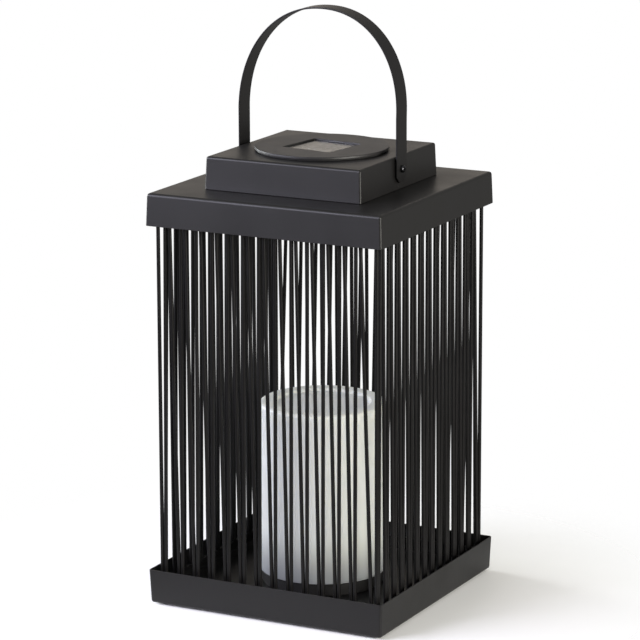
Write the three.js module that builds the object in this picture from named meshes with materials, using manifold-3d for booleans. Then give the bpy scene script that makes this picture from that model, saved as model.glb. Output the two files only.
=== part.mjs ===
// Solar lantern: a square wire cage between a folded steel tray and a folded steel cap.
// A pillar candle with an LED stands in the tray, and a round solar unit drops into the
// housing on the cap. Its bail handle turns on two screws. Millimetres, +Z up.
// The origin is on the ground, under the middle of the tray.

import * as THREE from "three";
import { mergeVertices } from "three/addons/utils/BufferGeometryUtils.js";
import Module from "manifold-3d";

const wasm = await Module();
wasm.setup();

// ---------------------------------------------------------------- driving dimensions

const sheet = 1.0; // thickness of the folded steel
const gap = 0.3; // running and resting clearance between neighbours
const rest = 0.1; // clearance where a soft piece rests on its neighbour
const screwHole = 3.6;

const foot = { diameter: 10, lift: 1.5, inset: 10 };
const tray = {
  top: 203.2, bottom: 201.3, height: 27, floor: 5.7, lip: 14, bend: 2.5, corner: 2.2, boltHole: 4,
};
const cap = { bottom: 201.2, top: 199.6, low: 301.7, height: 25.4, bend: 2.5, corner: 1.8 };
const housing = { bottom: 134, top: 132.3, height: 25.6, bend: 2, corner: 1.5, lip: 12 };

// The cage: one corner post a side, and pairs of rods that meet at the tray and part at the cap.
const rod = { diameter: 3, plane: 93.4, sides: 6 };
const lowPairs = { first: -76.9, pitch: 13.67, count: 12, half: 1.6, height: 27.6 };
const highPairs = { first: -85.2, pitch: 13.6, count: 13, half: 2.0, height: 297.4 };
const lowEnds = { first: -90.2, last: 88.8 };
const ring = { low: 16.5, high: 313.2, section: 3.4 };
const tab = { size: 15, thick: 1.5, hole: 3.8 };
const stud = { diameter: 3, length: 6.5, place: 86.5 };

const candle = { diameter: 100, low: 16, high: 152.4, wall: 2.5, recess: 37.5, sink: 3, lipRadius: 3 };
const candleBase = { diameter: 97, low: 6, shoulder: 15.7, spigot: 94, top: 22, wall: 2.5, bolts: 28 };
const ledBoard = { diameter: 60, thick: 1.6, low: 17.3 };
const led = { diameter: 5, body: 6 };

const strap = { width: 17, thick: 1.2, leg: 68.2, shoulder: 383.3, crown: 463.9, power: 2.12, lean: 3.5 };
const pivot = { height: 343.2, endBelow: 10.4, chamfer: 4.5 };
const washer = { diameter: 8, thick: 0.5 };
const screw = { shank: 3, head: 5.8, headHeight: 2.1, nutFlats: 5.5, nutHeight: 2.4, sides: 10 };

const unit = { hole: 93, diameter: 104.6, thick: 2.3, seal: 0.7, sealWidth: 4.5, twist: -8 };
const caseCup = { diameter: 90, depth: 20, wall: 1.8 };
const windowCut = { size: 44, sink: 1.2 };
const cell = { size: 42, thick: 0.5, cover: 1.0 };
const battery = { diameter: 14.2, length: 49.5, nipple: 5.5, offset: -20, height: 342.3 };
const spring = { diameter: 8, length: 3, clear: 0.4 };
const contact = { size: 10, thick: 0.6, clear: 0.5 };
const unitBoard = { length: 46, width: 26, thick: 1.6, offset: 14, drop: 5 };
const door = { length: 60, width: 20, thick: 1.6, screwInset: 4.5, screwHole: 3.2 };
const doorScrew = { head: 5, headHeight: 1.4, length: 1.2 };
const slider = { length: 4, width: 3, height: 2.5, travel: 2, place: [0, 24] };
const switchBox = { length: 12, width: 7, height: 4 };
const plug = { pin: 5.5, collar: 9, pinLength: 8.4, length: 11.4 };
const socket = { diameter: 11, low: 324.6, bore: 6.4, flange: 1.2 };

const lead = { diameter: 2.4, quarterSides: 4, steps: 60, corner: 122.6, clipWall: 0.5, clipHeight: 4 };
const clipHeights = [80, 122, 285];

const round = 36; // segments of a large round piece
const small = 12; // segments of a small round piece

const capTop = cap.low + cap.height;
const housingLow = capTop + 0.2;
const deck = housingLow + housing.height;
const caseTop = deck + rest + unit.seal;
const caseLow = caseTop - caseCup.depth;
const bezelLow = caseTop + rest;
const bezelTop = bezelLow + unit.thick;
const quarter = Math.PI / 2;

// ---------------------------------------------------------------- materials

function finish(color, roughness, metalness = 0, opacity = 1) {
  return new THREE.MeshStandardMaterial({ color, roughness, metalness, opacity, transparent: opacity < 1 });
}
const blackCoat = finish(0x262524, 0.55, 0.3);
const wireCoat = finish(0x232221, 0.45, 0.3);
const zinc = finish(0xb9bcc0, 0.35, 1);
const blackScrew = finish(0x1d1d1e, 0.35, 0.8);
const blackPlastic = finish(0x2a2a2b, 0.5);
const rubber = finish(0x191919, 0.85);
const wax = finish(0xd7d6d2, 0.6);
const clear = finish(0xe8eef0, 0.08, 0, 0.4);
const silicon = finish(0x33363f, 0.25);
const circuit = finish(0x1f4d33, 0.5);
const greenCell = finish(0x2d6b45, 0.45);
const diode = finish(0xf3e7c8, 0.15);
const switchWhite = finish(0xd9d9d6, 0.4);

// ---------------------------------------------------------------- joining and cutting

function solidOf(geometry) {
  const bare = geometry.clone();
  bare.deleteAttribute("normal");
  bare.deleteAttribute("uv");
  const merged = mergeVertices(bare, 1e-4);
  const vertProperties = new Float32Array(merged.attributes.position.array);
  const triVerts = new Uint32Array(merged.index.array);
  return new wasm.Manifold(new wasm.Mesh({ numProp: 3, vertProperties, triVerts }));
}

function geometryOf(solid) {
  const mesh = solid.getMesh();
  const geometry = new THREE.BufferGeometry();
  geometry.setAttribute("position", new THREE.BufferAttribute(new Float32Array(mesh.vertProperties), 3));
  geometry.setIndex(new THREE.BufferAttribute(new Uint32Array(mesh.triVerts), 1));
  geometry.computeVertexNormals();
  return geometry;
}

function join(...pieces) {
  return geometryOf(pieces.map(solidOf).reduce((all, piece) => all.add(piece)));
}

function cut(body, ...tools) {
  return geometryOf(tools.map(solidOf).reduce((rest, tool) => rest.subtract(tool), solidOf(body)));
}

// ---------------------------------------------------------------- plain shapes

function block(x, y, z, centre) {
  return new THREE.BoxGeometry(x, y, z).translate(...centre);
}

// A round bar or disc between two heights, standing on the point (x, y).
function bar(diameter, low, high, x = 0, y = 0, sides = small) {
  const geometry = new THREE.CylinderGeometry(diameter / 2, diameter / 2, high - low, sides);
  return geometry.rotateX(quarter).translate(x, y, (low + high) / 2);
}

// A round bar between any two points.
function barBetween(start, end, diameter, sides) {
  const along = end.clone().sub(start);
  const geometry = new THREE.CylinderGeometry(diameter / 2, diameter / 2, along.length(), sides);
  const turn = new THREE.Quaternion().setFromUnitVectors(new THREE.Vector3(0, 1, 0), along.normalize());
  geometry.applyQuaternion(turn);
  const middle = start.clone().lerp(end, 0.5);
  return geometry.translate(middle.x, middle.y, middle.z);
}

// A lathe turns about Y, so its profile is [radius, height] and it is stood up along Z.
function turned(profile, segments = round) {
  const points = profile.map(([radius, height]) => new THREE.Vector2(radius, height));
  return new THREE.LatheGeometry(points, segments).rotateX(quarter);
}

function arcPoints(centreRadius, centreHeight, radius, from, to, steps) {
  const points = [];
  for (let i = 0; i <= steps; i++) {
    const angle = THREE.MathUtils.degToRad(from + ((to - from) * i) / steps);
    points.push([centreRadius + radius * Math.cos(angle), centreHeight + radius * Math.sin(angle)]);
  }
  return points;
}

// A square ring of points with round corners, every one with the same count, so rings can be lofted.
function squareRing(side, corner, z) {
  const points = [];
  const steps = 2;
  for (let quadrant = 0; quadrant < 4; quadrant++) {
    const middle = quadrant * quarter + quarter / 2;
    const centre = (side / 2 - corner) * Math.SQRT2;
    for (let i = 0; i <= steps; i++) {
      const angle = quadrant * quarter + (quarter * i) / steps;
      const x = centre * Math.cos(middle) + corner * Math.cos(angle);
      const y = centre * Math.sin(middle) + corner * Math.sin(angle);
      points.push(new THREE.Vector3(x, y, z));
    }
  }
  return points;
}

// A closed solid through a stack of rings, the lowest first.
function loft(rings) {
  const count = rings[0].length;
  const positions = rings.flat().flatMap((point) => [point.x, point.y, point.z]);
  const index = [];
  for (let level = 0; level < rings.length - 1; level++) {
    for (let i = 0; i < count; i++) {
      const a = level * count + i;
      const b = level * count + ((i + 1) % count);
      index.push(a, b, b + count, a, b + count, a + count);
    }
  }
  const top = (rings.length - 1) * count;
  for (let i = 1; i < count - 1; i++) {
    index.push(0, i + 1, i, top, top + i, top + i + 1);
  }
  const geometry = new THREE.BufferGeometry();
  geometry.setAttribute("position", new THREE.Float32BufferAttribute(positions, 3));
  geometry.setIndex(index);
  return geometry;
}

// The outside of a folded pan standing open end down: its closed top edge is a bend.
function panBody(openSide, closedSide, height, bend, corner, start = 0) {
  const rings = [squareRing(openSide, corner, start)];
  const steps = 3;
  for (let i = 0; i <= steps; i++) {
    const angle = (quarter * i) / steps;
    const pulledIn = bend * (1 - Math.cos(angle));
    const side = closedSide - 2 * pulledIn;
    rings.push(squareRing(side, Math.max(corner - pulledIn, 0.4), height - bend + bend * Math.sin(angle)));
  }
  return loft(rings);
}

function foldedPan({ openSide, closedSide, height, bend, corner }) {
  const outside = panBody(openSide, closedSide, height, bend, corner);
  const thin = 2 * sheet;
  const inside = panBody(
    openSide - thin, closedSide - thin, height - sheet, bend - sheet, corner - sheet, -1);
  return cut(outside, inside);
}

// ---------------------------------------------------------------- tray and feet

// The tray stands open end up. Its floor is welded in above the turned-in bottom lip, and four
// studs on the floor take the cage.
function trayGeometry() {
  const body = panBody(tray.top, tray.bottom, tray.height, tray.bend, tray.corner);
  body.rotateX(Math.PI).translate(0, 0, tray.height);
  const thin = 2 * sheet;
  const well = loft([
    squareRing(tray.bottom - thin, tray.corner - sheet, tray.floor),
    squareRing(tray.top - thin, tray.corner - sheet, tray.height + 1),
  ]);
  const underFloor = tray.bottom - 2 * tray.bend;
  const hollow = block(underFloor, underFloor, tray.floor - 2 * sheet, [0, 0, tray.floor / 2]);
  const mouth = block(tray.bottom - 2 * tray.lip, tray.bottom - 2 * tray.lip, 4, [0, 0, 0]);
  const boltHoles = [-1, 1].map((way) => bar(tray.boltHole, -1, tray.floor + 1, way * candleBase.bolts, 0));
  const pan = cut(body, well, hollow, mouth, ...boltHoles);
  const studs = corners(stud.place).map(([x, y]) =>
    bar(stud.diameter, tray.floor - 0.5, tray.floor + stud.length, x, y, 12));
  return join(pan, ...studs);
}

function corners(place) {
  return [[1, -1], [1, 1], [-1, 1], [-1, -1]].map(([x, y]) => [x * place, y * place]);
}

// ---------------------------------------------------------------- wire cage

// One side of the cage, made for the front. A thin square bar runs round the cage near each end,
// and the rods are welded between the two. Each leans from a pair at the tray to the neighbouring
// pair at the cap. The last one is the upright corner post, which carries a screw tab at each end.
function cagePanel() {
  const low = [lowEnds.first];
  for (let i = 0; i < lowPairs.count; i++) {
    const middle = lowPairs.first + i * lowPairs.pitch;
    low.push(middle - lowPairs.half, middle + lowPairs.half);
  }
  low.push(lowEnds.last);
  const high = [];
  for (let i = 0; i < highPairs.count; i++) {
    const middle = highPairs.first + i * highPairs.pitch;
    high.push(middle - highPairs.half, middle + highPairs.half);
  }
  const rods = low.map((lowX, i) => {
    const slope = (high[i] - lowX) / (highPairs.height - lowPairs.height);
    const at = (z) => new THREE.Vector3(lowX + slope * (z - lowPairs.height), -rod.plane, z);
    return barBetween(at(ring.low), at(ring.high), rod.diameter, rod.sides);
  });
  const start = gap + ring.section / 2 - rod.plane;
  const length = rod.plane + ring.section / 2 - start;
  const rails = [ring.low, ring.high].map((z) =>
    block(length, ring.section, ring.section, [start + length / 2, -rod.plane, z]));
  const lowTab = tray.floor + gap;
  const highTab = capTop - sheet - gap - tab.thick;
  const post = bar(rod.diameter, lowTab + 0.5, highTab + tab.thick - 0.5, rod.plane, -rod.plane, 8);
  const tabs = [lowTab, highTab].map((z) => {
    const middle = rod.plane - tab.size / 2 + 1;
    const plate = block(tab.size, tab.size, tab.thick, [middle, -middle, z + tab.thick / 2]);
    return cut(plate, bar(tab.hole, z - 1, z + tab.thick + 1, stud.place, -stud.place, small));
  });
  return join(...rails, ...rods, post, ...tabs);
}

// ---------------------------------------------------------------- cap and housing

function capGeometry() {
  const pan = foldedPan({
    openSide: cap.bottom, closedSide: cap.top, height: cap.height, bend: cap.bend, corner: cap.corner,
  }).translate(0, 0, cap.low);
  const socketHole = bar(socket.diameter + 2 * gap, capTop - 5, capTop + 5, 0, 0, 20);
  const screwHoles = corners(housingScrewPlace()).map(([x, y]) =>
    bar(screwHole, capTop - 5, capTop + 5, x, y));
  const studs = corners(stud.place).map(([x, y]) =>
    bar(stud.diameter, capTop - sheet - stud.length, capTop - sheet + 0.5, x, y, 12));
  return join(cut(pan, socketHole, ...screwHoles), ...studs);
}

function housingScrewPlace() {
  return housing.bottom / 2 - housing.lip / 2 - sheet;
}

// The housing is a smaller pan with a turned-in foot, a round hole in its deck for the solar
// unit and a bore through each side for a handle screw.
function housingGeometry() {
  const pan = foldedPan({
    openSide: housing.bottom, closedSide: housing.top, height: housing.height,
    bend: housing.bend, corner: housing.corner,
  });
  const lipSide = housing.bottom - sheet;
  const lip = cut(
    block(lipSide, lipSide, sheet, [0, 0, sheet / 2]),
    block(housing.bottom - 2 * housing.lip, housing.bottom - 2 * housing.lip, 4, [0, 0, 0]),
    ...corners(housingScrewPlace()).map(([x, y]) => bar(screwHole, -2, 4, x, y)));
  const unitHole = bar(unit.hole, housing.height - 5, housing.height + 5, 0, 0, round);
  const pivotBore = bar(screwHole, -100, 100).rotateY(quarter);
  pivotBore.translate(0, 0, pivot.height - housingLow);
  return cut(join(pan, lip), unitHole, pivotBore).translate(0, 0, housingLow);
}

// ---------------------------------------------------------------- fasteners

// A pan-head screw with its head face at z = 0, the head above it and the shank below.
function panScrew(length, headDiameter = screw.head, headHeight = screw.headHeight) {
  const radius = headDiameter / 2;
  return turned([
    [0, -length], [screw.shank / 2, -length], [screw.shank / 2, 0], [radius, 0],
    [radius, headHeight * 0.5], [radius * 0.7, headHeight], [0, headHeight],
  ], screw.sides);
}

// A hexagon nut around a 3 mm thread, standing on z = 0.
function hexNut() {
  const across = screw.nutFlats / Math.cos(Math.PI / 6);
  const body = bar(across, 0, screw.nutHeight, 0, 0, 6);
  return cut(body, bar(screwHole, -1, screw.nutHeight + 1));
}

// ---------------------------------------------------------------- handle

// The strap's middle line: two upright legs and a flattened half ellipse between them. The
// crown leans a little to one side.
function strapLine(offset, steps) {
  const points = [[strap.leg + offset, pivot.height - pivot.endBelow]];
  for (let i = 0; i <= steps; i++) {
    const angle = (Math.PI * i) / steps;
    const cosine = Math.cos(angle);
    const sine = Math.sin(angle);
    const power = 2 / strap.power;
    const x = (strap.leg + offset) * Math.sign(cosine) * Math.abs(cosine) ** power;
    const z = strap.shoulder + (strap.crown - strap.shoulder + offset) * Math.abs(sine) ** power;
    points.push([x + (strap.lean * (z - strap.shoulder)) / (strap.crown - strap.shoulder), z]);
  }
  points.push([-strap.leg - offset, pivot.height - pivot.endBelow]);
  return points;
}

function strapGeometry() {
  const steps = 26;
  const outer = strapLine(strap.thick / 2, steps);
  const inner = strapLine(-strap.thick / 2, steps).reverse();
  const outline = new THREE.Shape([...outer, ...inner].map(([x, z]) => new THREE.Vector2(x, z)));
  const band = new THREE.ExtrudeGeometry(outline, { depth: strap.width, bevelEnabled: false });
  band.rotateX(quarter).translate(0, strap.width / 2, 0);
  const bore = bar(screwHole, -100, 100).rotateY(quarter).translate(0, 0, pivot.height);
  const chamfers = [-1, 1].map((way) => {
    const size = pivot.chamfer * Math.SQRT2;
    const corner = block(200, size, size, [0, 0, 0]).rotateX(Math.PI / 4);
    return corner.translate(0, (way * strap.width) / 2, pivot.height - pivot.endBelow);
  });
  return cut(band, bore, ...chamfers);
}

// ---------------------------------------------------------------- candle

// A thin translucent pillar, open below, with a rolled lip around a shallow dished top.
function candleShell() {
  const radius = candle.diameter / 2;
  const floor = candle.high - candle.sink;
  return turned([
    [radius - candle.wall, candle.low],
    [radius, candle.low],
    ...arcPoints(radius - candle.lipRadius, candle.high - candle.lipRadius, candle.lipRadius, 0, 90, 2),
    [candle.recess + 2, candle.high],
    [candle.recess, floor],
    [0, floor],
    [0, floor - candle.wall],
    [radius - candle.wall, floor - candle.wall - 2],
    [radius - candle.wall, candle.low],
  ]);
}

// The candle's foot: a cup with a shoulder under the shell, a spigot inside it and two bolt bosses.
function candleFoot() {
  const wall = candleBase.wall;
  const inner = candleBase.spigot / 2 - wall;
  const cup = turned([
    [0, candleBase.low], [candleBase.diameter / 2, candleBase.low],
    [candleBase.diameter / 2, candleBase.shoulder], [candleBase.spigot / 2 - gap, candleBase.shoulder],
    [candleBase.spigot / 2 - gap, candleBase.top], [inner, candleBase.top],
    [inner, candleBase.low + wall], [0, candleBase.low + wall],
  ]);
  const bosses = [-1, 1].map((way) =>
    bar(9, candleBase.low + 1, ledBoard.low - gap, way * candleBase.bolts, 0));
  const bores = [-1, 1].map((way) =>
    bar(screwHole, candleBase.low - 1, ledBoard.low - 3, way * candleBase.bolts, 0));
  const outward = leadEntry().direction;
  const way = barBetween(
    outward.clone().multiplyScalar(inner - 6).setZ(leadEntry().height),
    outward.clone().multiplyScalar(candleBase.diameter).setZ(leadEntry().height),
    lead.diameter + 2 * gap, 12);
  return cut(join(cup, ...bosses), ...bores, way);
}

// The lead enters the candle's foot from the rear left corner.
function leadEntry() {
  return { direction: new THREE.Vector3(-Math.SQRT1_2, Math.SQRT1_2, 0), height: candleBase.low + 5.2 };
}

function ledGeometry() {
  const radius = led.diameter / 2;
  return turned([
    [0, 0], [radius + 0.4, 0], [radius + 0.4, 1], [radius, 1],
    ...arcPoints(0, led.body, radius, 0, 75, 3), [0, led.body + radius],
  ], small);
}

// ---------------------------------------------------------------- power lead

// Two-core lead from the socket under the cap to the rear left corner, down beside the post and
// over the tray floor into the candle. The points are the cord's centre line.
function leadGeometry() {
  const { direction, height } = leadEntry();
  const near = (radius, z) => new THREE.Vector3(direction.x * radius, direction.y * radius, z);
  const under = capTop - sheet - 4.2;
  const route = new THREE.CatmullRomCurve3([
    near(socket.diameter / 2 + gap, under),
    near(20, under), near(45, under), near(70, under), near(95, under),
    near(112, under - 1.5),
    near(119.5, under - 8), near(122.2, under - 19),
    near(lead.corner, 280), near(lead.corner, 240), near(lead.corner, 200), near(lead.corner, 160),
    near(lead.corner, 120), near(lead.corner, 80), near(lead.corner, 45), near(lead.corner, 34),
    near(121.2, 23), near(115.5, 14.5), near(107, 11.4),
    near(98, height), near(84, height), near(68, height), near(48, height), near(40, height),
  ], false, "centripetal");
  const section = new THREE.Shape();
  section.absarc(0, 0, lead.diameter / 2, 0, 2 * Math.PI, false);
  return new THREE.ExtrudeGeometry(section, {
    steps: lead.steps, extrudePath: route, curveSegments: lead.quarterSides, bevelEnabled: false,
  });
}

// A clip that holds the lead against the corner post: a ring around each and a web between them.
function clipGeometry() {
  const postAt = rod.plane * Math.SQRT2;
  const height = lead.clipHeight / 2;
  const grip = (diameter, x) => bar(diameter + 2 * gap + 2 * lead.clipWall, -height, height, x, 0, small);
  const bore = (diameter, x) => bar(diameter + 2 * gap, -9, 9, x, 0, 12);
  const web = block(postAt - lead.corner, 1.6, lead.clipHeight, [(postAt + lead.corner) / 2, 0, 0]);
  const body = join(grip(rod.diameter, postAt), grip(lead.diameter, lead.corner), web);
  return cut(body, bore(rod.diameter, postAt), bore(lead.diameter, lead.corner)).rotateZ(3 * quarter / 2);
}

function socketGeometry() {
  const body = bar(socket.diameter, socket.low, capTop + 3, 0, 0, 20);
  const flange = bar(socket.diameter + 4, capTop + gap, capTop + gap + socket.flange, 0, 0, 20);
  return cut(join(body, flange), bar(socket.bore, socket.low + 2, capTop + 5, 0, 0, small));
}

// ---------------------------------------------------------------- solar unit

function sealGeometry() {
  const outer = unit.diameter / 2 - 1.2;
  return turned([
    [outer - unit.sealWidth, 0], [outer, 0], [outer, unit.seal - rest],
    [outer - unit.sealWidth, unit.seal - rest], [outer - unit.sealWidth, 0],
  ]);
}

// The disc that shows on the deck: round-edged, with a square window for the cell.
function bezelGeometry() {
  const radius = unit.diameter / 2;
  const disc = turned([
    [0, 0], [radius - 0.8, 0], [radius - 0.8, 0.5], [radius, 0.5],
    ...arcPoints(radius - 0.8, unit.thick - 0.8, 0.8, 0, 90, 2), [0, unit.thick],
  ], 48);
  const opening = block(windowCut.size, windowCut.size, 20, [0, 0, 0]);
  return cut(disc, opening);
}

// The cup under the disc holds the battery and the circuit board. Its floor has the battery
// hatch, the switch slot and the plug's hole.
function caseGeometry() {
  const radius = caseCup.diameter / 2;
  const wall = caseCup.wall;
  const cup = turned([
    [0, 0], [radius - 1.5, 0], [radius, 1.5], [radius, caseCup.depth - gap],
    [radius - wall, caseCup.depth - gap], [radius - wall, wall], [0, wall],
  ]);
  const hatch = block(door.length - 6, door.width - 5, 10, [0, battery.offset, 0]);
  const plugHole = bar(plug.pin + 2 * gap, -3, 5, 0, 0, small);
  const [x, y] = slider.place;
  const slotLength = slider.length + slider.travel + 2 * gap;
  const slot = block(slotLength, slider.width + 2 * gap, 10, [x + slider.travel / 2, y, 0]);
  return cut(cup, hatch, plugHole, slot);
}

function batteryGeometry() {
  const radius = battery.diameter / 2;
  const cylinder = turned([
    [0, 0], [radius, 0], [radius, battery.length - 1], [battery.nipple / 2, battery.length - 1],
    [battery.nipple / 2, battery.length], [0, battery.length],
  ], 20);
  return cylinder.translate(0, 0, -battery.length / 2).rotateY(quarter);
}

function plugGeometry() {
  return turned([
    [0, 0], [plug.pin / 2 - 0.6, 0], [plug.pin / 2, 0.8], [plug.pin / 2, plug.pinLength],
    [plug.collar / 2, plug.pinLength], [plug.collar / 2, plug.length], [0, plug.length],
  ], small);
}

// ---------------------------------------------------------------- assembly

const lantern = new THREE.Group();
lantern.position.z = foot.lift; // the feet raise the tray off the ground

function place(name, geometry, material, [x, y, z] = [0, 0, 0], parent = lantern) {
  const mesh = new THREE.Mesh(geometry, material);
  mesh.name = name;
  mesh.position.set(x, y, z);
  parent.add(mesh);
  return mesh;
}

place("base_tray", trayGeometry(), blackCoat);
const footPlace = tray.bottom / 2 - foot.inset;
corners(footPlace).forEach(([x, y], i) =>
  place(`base_foot_${i + 1}`, bar(foot.diameter, -foot.lift, -rest, 0, 0, 20), rubber, [x, y, 0]));

const panel = cagePanel();
["front", "right", "back", "left"].forEach((sideName, i) => {
  place(`cage_${sideName}`, panel, wireCoat).rotation.z = i * quarter;
});

place("lid_cap", capGeometry(), blackCoat);
place("solar_housing", housingGeometry(), blackCoat);

const nut = hexNut();
const nutOnTray = tray.floor + gap + tab.thick + gap;
const nutUnderCap = capTop - sheet - 2 * gap - tab.thick - screw.nutHeight;
corners(stud.place).forEach(([x, y], i) => {
  place(`base_nut_${i + 1}`, nut, zinc, [x, y, nutOnTray]);
  place(`lid_nut_${i + 1}`, nut, zinc, [x, y, nutUnderCap]);
});
const housingScrew = panScrew(6).rotateX(Math.PI);
corners(housingScrewPlace()).forEach(([x, y], i) =>
  place(`housing_screw_${i + 1}`, housingScrew, blackScrew, [x, y, capTop - sheet - gap]));

place("candle_base", candleFoot(), blackPlastic);
place("candle_shell", candleShell(), wax);
place("candle_board", bar(ledBoard.diameter, 0, ledBoard.thick, 0, 0, 32), circuit, [0, 0, ledBoard.low]);
place("candle_led", ledGeometry(), diode, [0, 0, ledBoard.low + ledBoard.thick + 0.2]);
const candleScrew = panScrew(8).rotateX(Math.PI);
[-1, 1].forEach((way, i) =>
  place(`candle_screw_${i + 1}`, candleScrew, zinc, [way * candleBase.bolts, 0, tray.floor - sheet - gap]));

place("power_socket", socketGeometry(), blackPlastic);
place("power_lead", leadGeometry(), rubber);
clipHeights.forEach((z, i) => place(`lead_clip_${i + 1}`, clipGeometry(), blackPlastic, [0, 0, z]));

// Handle: the screw passes through the strap, a washer and the housing side into its nut.
const strapFace = strap.leg + strap.thick / 2;
const pivotShare = (pivot.height - housingLow) / housing.height;
const housingWall = THREE.MathUtils.lerp(housing.bottom, housing.top, pivotShare) / 2;
place("handle_strap", strapGeometry(), blackCoat);
[["left", -1], ["right", 1]].forEach(([sideName, way]) => {
  const turn = way * quarter;
  const shank = strapFace + gap - (housingWall - sheet - gap - screw.nutHeight) + 1;
  const washerRing = cut(bar(washer.diameter, 0, washer.thick, 0, 0, 20), bar(screwHole, -1, 2));
  const washerAt = way * (housingWall + gap);
  const nutAt = way * (housingWall - sheet - 1 - screw.nutHeight);
  place(`pivot_screw_${sideName}`, panScrew(shank), blackScrew, [way * (strapFace + gap), 0, pivot.height])
    .rotation.y = turn;
  place(`pivot_washer_${sideName}`, washerRing, zinc, [washerAt, 0, pivot.height]).rotation.y = turn;
  place(`pivot_nut_${sideName}`, nut, zinc, [nutAt, 0, pivot.height]).rotation.y = turn;
});

// Solar unit: everything in this group turns and lifts out together.
const solarUnit = new THREE.Group();
solarUnit.rotation.z = THREE.MathUtils.degToRad(unit.twist);
lantern.add(solarUnit);
const cellLow = bezelTop - windowCut.sink - cell.cover - rest - cell.thick;
place("solar_seal", sealGeometry(), rubber, [0, 0, deck + rest]);
place("solar_bezel", bezelGeometry(), blackPlastic, [0, 0, bezelLow], solarUnit);
const coverSide = windowCut.size - 2 * gap;
place("cell_cover", block(coverSide, coverSide, cell.cover, [0, 0, 0]), clear,
  [0, 0, bezelTop - windowCut.sink - cell.cover / 2], solarUnit);
place("solar_cell", block(cell.size, cell.size, cell.thick, [0, 0, 0]), silicon,
  [0, 0, cellLow + cell.thick / 2], solarUnit);
place("unit_case", caseGeometry(), blackPlastic, [0, 0, caseLow], solarUnit);
place("battery", batteryGeometry(), greenCell, [0, battery.offset, battery.height], solarUnit);
place("battery_spring", bar(spring.diameter, 0, spring.length).rotateY(quarter), zinc,
  [-battery.length / 2 - spring.clear - spring.length, battery.offset, battery.height], solarUnit);
place("battery_contact", block(contact.thick, contact.size, contact.size, [0, 0, 0]), zinc,
  [battery.length / 2 + contact.clear + contact.thick / 2, battery.offset, battery.height], solarUnit);
place("circuit_board", block(unitBoard.length, unitBoard.width, unitBoard.thick, [0, 0, 0]), circuit,
  [0, unitBoard.offset, caseTop - unitBoard.drop], solarUnit);
const doorScrewAt = door.length / 2 - door.screwInset;
const batteryDoor = cut(
  block(door.length, door.width, door.thick, [0, 0, 0]), bar(door.screwHole, -5, 5, doorScrewAt, 0));
place("battery_door", batteryDoor, blackPlastic,
  [0, battery.offset, caseLow - gap - door.thick / 2], solarUnit);
place("door_screw", panScrew(doorScrew.length, doorScrew.head, doorScrew.headHeight).rotateX(Math.PI), zinc,
  [doorScrewAt, battery.offset, caseLow - 2 * gap - door.thick], solarUnit);
const [sliderX, sliderY] = slider.place;
const sliderAt = caseLow + caseCup.wall - slider.height / 2 + gap;
const switchAt = sliderAt + slider.height / 2 + gap + switchBox.height / 2;
place("switch_body", block(switchBox.length, switchBox.width, switchBox.height, [0, 0, 0]), blackPlastic,
  [sliderX + slider.travel / 2, sliderY, switchAt], solarUnit);
place("switch_slider", block(slider.length, slider.width, slider.height, [0, 0, 0]), switchWhite,
  [sliderX, sliderY, sliderAt], solarUnit);
place("power_plug", plugGeometry(), zinc, [0, 0, caseLow + caseCup.wall + gap - plug.pinLength], solarUnit);

export default lantern;
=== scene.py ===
# %% [markdown]
# # A solar lantern
# The lantern's steel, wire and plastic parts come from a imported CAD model. It is loaded first, as
# a fixed frame in metres, +Z up, with the front facing -Y. Everything made below is placed from
# that frame, so that the looks fit the mechanism and move with it.

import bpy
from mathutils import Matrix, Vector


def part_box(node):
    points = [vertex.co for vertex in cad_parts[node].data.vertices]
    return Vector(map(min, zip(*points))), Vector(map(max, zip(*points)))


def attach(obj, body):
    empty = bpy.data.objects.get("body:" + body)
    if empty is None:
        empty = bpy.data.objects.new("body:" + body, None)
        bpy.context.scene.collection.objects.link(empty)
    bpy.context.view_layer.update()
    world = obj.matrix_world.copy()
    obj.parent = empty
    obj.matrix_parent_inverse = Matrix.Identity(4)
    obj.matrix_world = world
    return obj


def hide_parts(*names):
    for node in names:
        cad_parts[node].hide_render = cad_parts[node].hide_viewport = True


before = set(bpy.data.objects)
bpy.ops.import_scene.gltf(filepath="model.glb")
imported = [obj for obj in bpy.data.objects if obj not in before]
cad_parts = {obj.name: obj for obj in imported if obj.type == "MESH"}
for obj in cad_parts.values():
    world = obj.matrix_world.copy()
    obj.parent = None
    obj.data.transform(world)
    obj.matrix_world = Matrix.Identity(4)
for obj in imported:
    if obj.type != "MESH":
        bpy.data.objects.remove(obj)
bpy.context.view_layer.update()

import math

import bmesh
import bpy
from mathutils import Matrix, Vector

MM = 0.001

# %% [markdown]
# ## The camera
# A long lens from about 2.7 m keeps the square cap and tray almost free of perspective, as a
# product picture does. The camera's place comes from an azimuth, an elevation and a distance
# around a point on the lantern's axis, and a small roll.

# %% Place the camera
VIEW_AZIMUTH = math.radians(27.2)
VIEW_ELEVATION = math.radians(13.23)
VIEW_ROLL = math.radians(-0.16)
VIEW_DISTANCE = 2.6538
FOOT_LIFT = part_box("base_tray")[0].z
AIM = Vector((0, 0, 0.2171 + FOOT_LIFT))
SIDE_STEP = -0.0019


def camera_axes(azimuth, elevation, roll):
    """Right, up and back of a camera that looks at the axis, turned by roll about its own view."""
    right = Vector((math.cos(azimuth), math.sin(azimuth), 0))
    back = Vector((math.sin(azimuth) * math.cos(elevation),
                   -math.cos(azimuth) * math.cos(elevation),
                   math.sin(elevation)))
    up = back.cross(right)
    turned_right = right * math.cos(roll) + up * math.sin(roll)
    turned_up = up * math.cos(roll) - right * math.sin(roll)
    return turned_right, turned_up, back


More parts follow.
